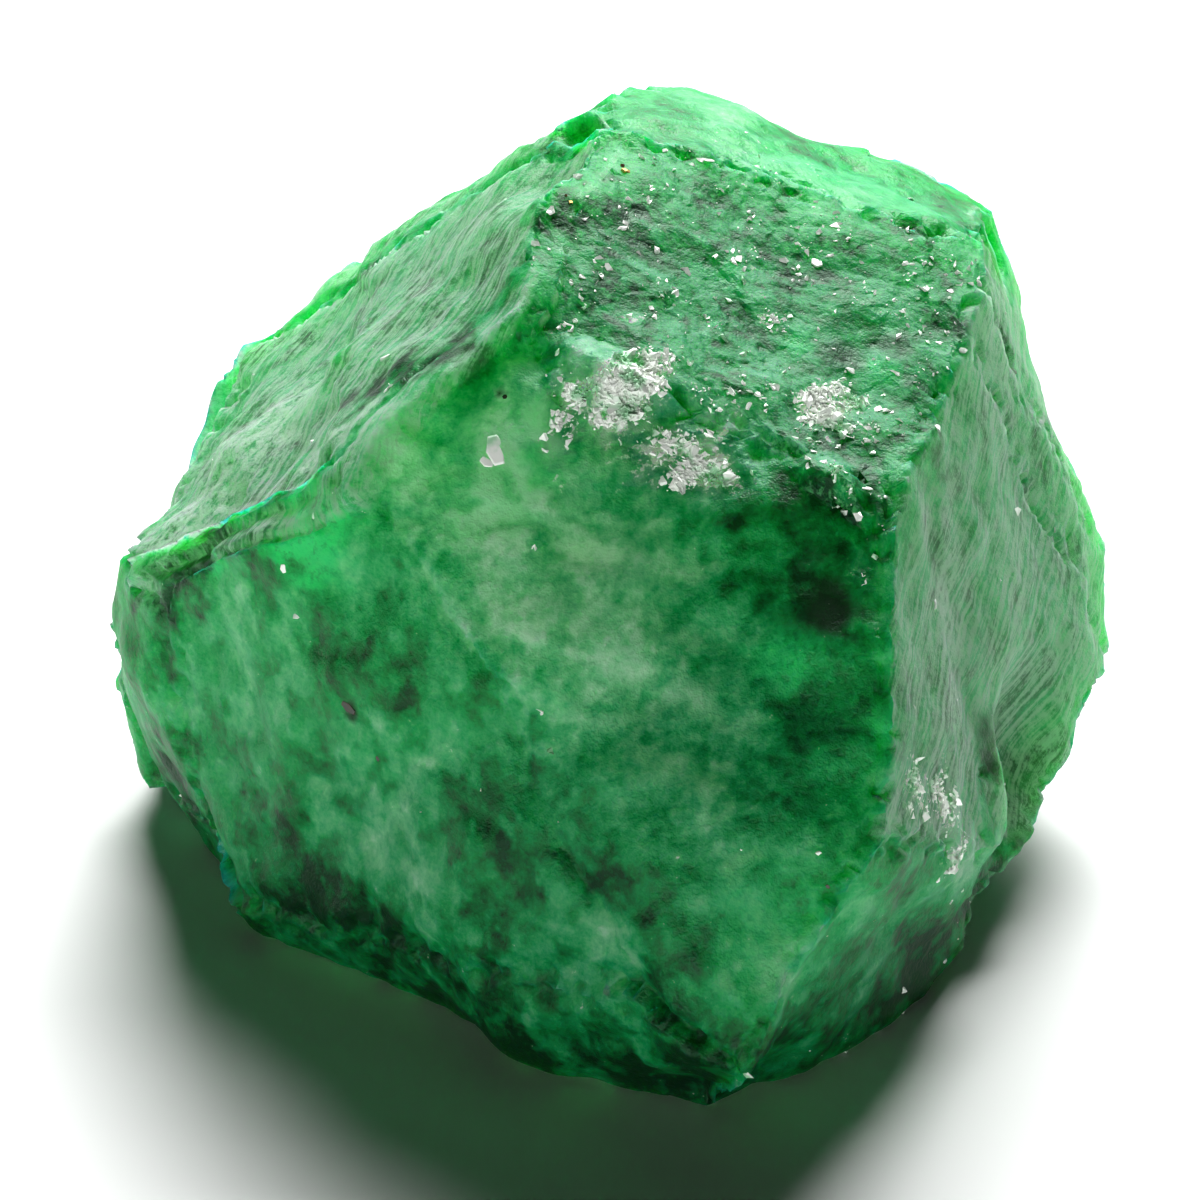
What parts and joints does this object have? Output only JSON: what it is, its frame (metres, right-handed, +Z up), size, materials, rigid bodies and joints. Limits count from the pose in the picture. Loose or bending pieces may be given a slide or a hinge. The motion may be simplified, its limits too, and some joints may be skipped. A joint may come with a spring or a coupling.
{
  "type": "raw emerald crystal",
  "caption": "Rough green beryl: a broken, see-through stub of a six-sided prism lying on its side, with striated growth faces, stepped ledges and a rough sparkling top.",
  "frame": {"origin": "middle of the bottom of the bounding box, on the surface that the crystal rests on", "axes": "+Z up; -Y towards the large front break; +X towards the striated right prism face"},
  "size_m": [0.0176, 0.0172, 0.0129],
  "materials": {
    "emerald": "clear to cloudy green crystal, glassy on breaks and frosted on growth faces",
    "dark_mica": "dark flaky mica sealed in the crystal",
    "pale_veil": "pale healed cracks and cloudy veils sealed in the crystal",
    "pyrite": "bright brassy grain"
  },
  "bodies": {
    "root": {"emerald_crystal": "emerald"}
  },
  "joints": []
}
